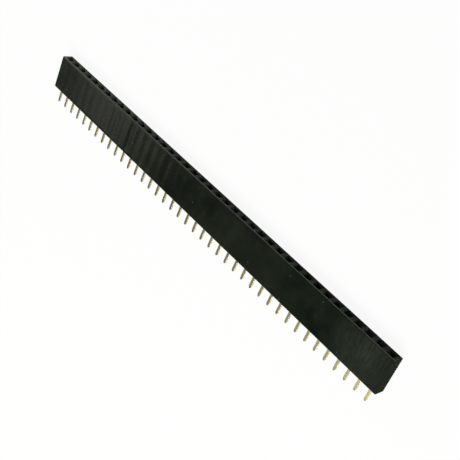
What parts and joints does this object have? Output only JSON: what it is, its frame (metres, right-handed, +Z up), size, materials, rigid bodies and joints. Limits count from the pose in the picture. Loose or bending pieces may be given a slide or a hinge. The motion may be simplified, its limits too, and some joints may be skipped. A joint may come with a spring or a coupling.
{
  "type": "female pin header strip",
  "caption": "Long slim black socket strip with a row of square pin sockets along one long edge and thin gold-finished solder tails along the other.",
  "frame": {"origin": "centre of the long side that the strip lies on", "axes": "+X along the row of contacts, +Y out of the mating face, +Z up out of the opposite long side"},
  "size_m": [0.102, 0.0106, 0.0025],
  "materials": {
    "insulator": "moulded black glass-filled polyester",
    "contacts": "thin gold flash over phosphor bronze"
  },
  "bodies": {
    "root": {"housing": "insulator", "contact_01": "contacts", "contact_02": "contacts", "contact_03": "contacts", "contact_04": "contacts", "contact_05": "contacts", "contact_06": "contacts", "contact_07": "contacts", "contact_08": "contacts", "contact_09": "contacts", "contact_10": "contacts", "contact_11": "contacts", "contact_12": "contacts", "contact_13": "contacts", "contact_14": "contacts", "contact_15": "contacts", "contact_16": "contacts", "contact_17": "contacts", "contact_18": "contacts", "contact_19": "contacts", "contact_20": "contacts", "contact_21": "contacts", "contact_22": "contacts", "contact_23": "contacts", "contact_24": "contacts", "contact_25": "contacts", "contact_26": "contacts", "contact_27": "contacts", "contact_28": "contacts", "contact_29": "contacts", "contact_30": "contacts", "contact_31": "contacts", "contact_32": "contacts", "contact_33": "contacts", "contact_34": "contacts", "contact_35": "contacts", "contact_36": "contacts", "contact_37": "contacts", "contact_38": "contacts", "contact_39": "contacts", "contact_40": "contacts"}
  },
  "joints": []
}
